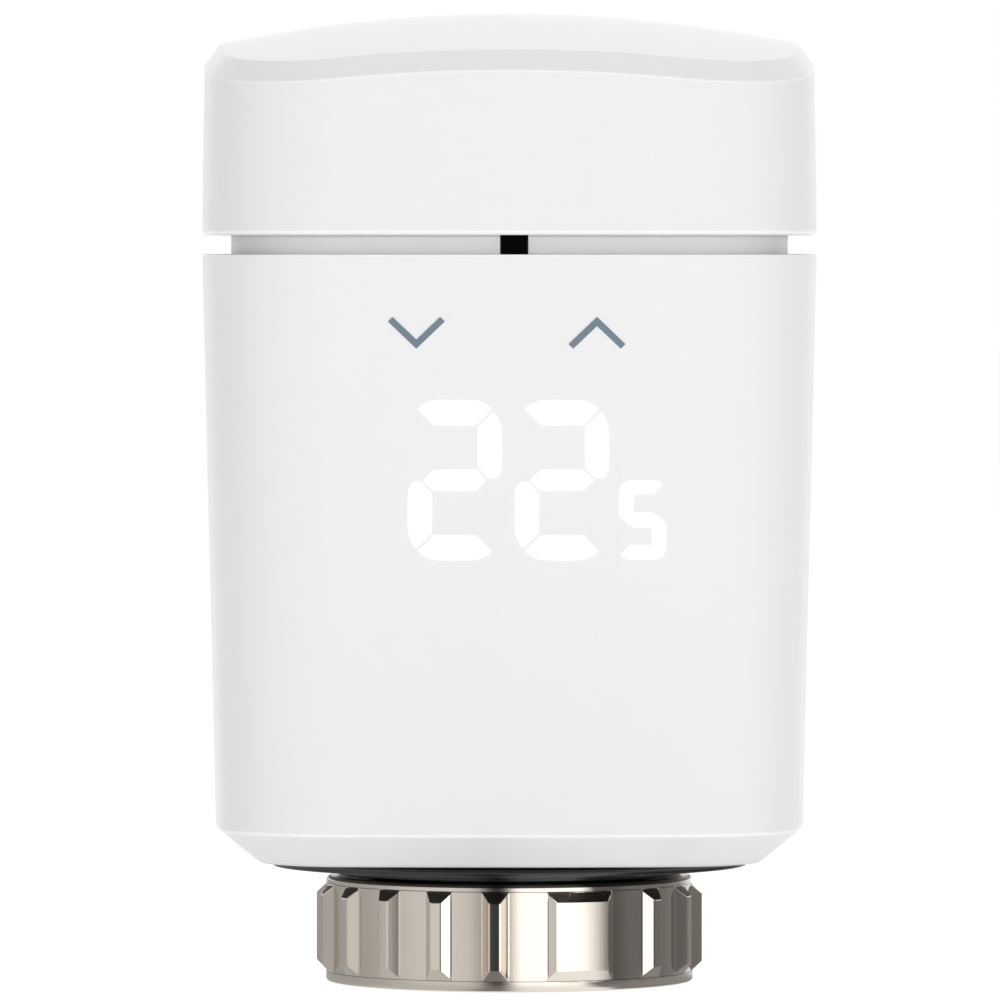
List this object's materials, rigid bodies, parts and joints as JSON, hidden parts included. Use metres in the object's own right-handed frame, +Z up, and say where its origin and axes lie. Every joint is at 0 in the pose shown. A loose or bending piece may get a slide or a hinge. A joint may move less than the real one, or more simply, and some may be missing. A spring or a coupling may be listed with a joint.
{
  "type": "radiator thermostat head",
  "caption": "Upright square electronic radiator valve head with a lift-off cap, front display behind the housing, geared plunger drive and a ribbed union nut.",
  "frame": {"origin": "on the valve axis, at the union nut's open end, which is the middle of the bottom of the object's box", "axes": "+Z up along the valve axis, -Y out of the display side, +X to the right of someone facing the display"},
  "size_m": [0.054, 0.054, 0.0852],
  "materials": {
    "shell_white": "satin white",
    "inner_white": "fine matt white",
    "gloss_black": "gloss black",
    "matt_black": "moulded matt black",
    "chip_black": "moulded epoxy",
    "nickel": "bright nickel plate",
    "steel": "plain steel",
    "spring_steel": "plated spring steel",
    "brass": "turned brass",
    "copper": "etched copper film",
    "grey_plastic": "glass-filled plastic",
    "gear_cream": "acetal",
    "cell_wrap": "printed film wrap",
    "diffuser": "milky diffuser",
    "board_green": "solder mask"
  },
  "bodies": {
    "head": {"housing": "shell_white", "inner_chassis": "inner_white", "sensor_window": "gloss_black", "temperature_sensor": "chip_black", "base_plate": "matt_black", "valve_spigot": "matt_black", "nut_retaining_ring": "spring_steel", "thrust_washer": "brass", "motor_can": "steel", "motor_bush": "brass", "gearbox_base": "matt_black", "gearbox_cover": "matt_black", "axle_1": "steel", "axle_2": "steel", "gearbox_screw_1": "steel", "gearbox_screw_2": "steel", "gearbox_screw_3": "steel", "gearbox_screw_4": "steel", "battery_1": "cell_wrap", "battery_2": "cell_wrap", "contact_spring_bottom": "spring_steel", "contact_plate_bottom": "spring_steel", "display_mask": "matt_black", "display_light_guide": "diffuser", "circuit_board": "board_green", "control_chip": "chip_black", "radio_module": "steel", "touch_pad_down": "copper", "touch_pad_up": "copper"},
    "lid": {"cap": "shell_white", "cap_insert": "inner_white", "contact_bridge": "spring_steel", "contact_spring_top": "spring_steel"},
    "nut": {"union_nut": "nickel"},
    "drive": {"drive_gear": "grey_plastic"},
    "pusher": {"plunger": "grey_plastic"},
    "second_pair": {"second_gear": "gear_cream"},
    "first_pair": {"first_gear": "gear_cream"},
    "rotor": {"motor_pinion": "brass"}
  },
  "joints": [
    {"name": "cap_lift", "type": "slide", "parent": "head", "child": "lid", "axis": [0, 0, 1], "range_m": [0, 0.03]},
    {"name": "nut_turn", "type": "hinge", "parent": "head", "child": "nut", "pos_m": [0, 0, 0.0047], "axis": [0, 0, 1], "continuous": true},
    {"name": "drive_turn", "type": "hinge", "parent": "head", "child": "drive", "pos_m": [0, 0, 0.017], "axis": [0, 0, 1], "range_deg": [0, 720]},
    {"name": "plunger_stroke", "type": "slide", "parent": "head", "child": "pusher", "axis": [0, 0, -1], "range_m": [0, 0.00451]},
    {"name": "second_gear_turn", "type": "hinge", "parent": "head", "child": "second_pair", "pos_m": [0.01251, -0.00583, 0.018], "axis": [0, 0, 1], "range_deg": [-2593, 1]},
    {"name": "first_gear_turn", "type": "hinge", "parent": "head", "child": "first_pair", "pos_m": [0.00436, -0.01292, 0.02], "axis": [0, 0, 1], "range_deg": [-1, 6740.2]},
    {"name": "motor_turn", "type": "hinge", "parent": "head", "child": "rotor", "pos_m": [-0.00608, -0.01012, 0.022], "axis": [0, 0, 1], "range_deg": [-17522.92, 1]}
  ],
  "couplings": [
    {"joint": "plunger_stroke", "follows": "drive_turn", "m_per_rad": 0.0003581},
    {"joint": "second_gear_turn", "follows": "drive_turn", "ratio": -3.6},
    {"joint": "first_gear_turn", "follows": "drive_turn", "ratio": 9.36},
    {"joint": "motor_turn", "follows": "drive_turn", "ratio": -24.336}
  ]
}
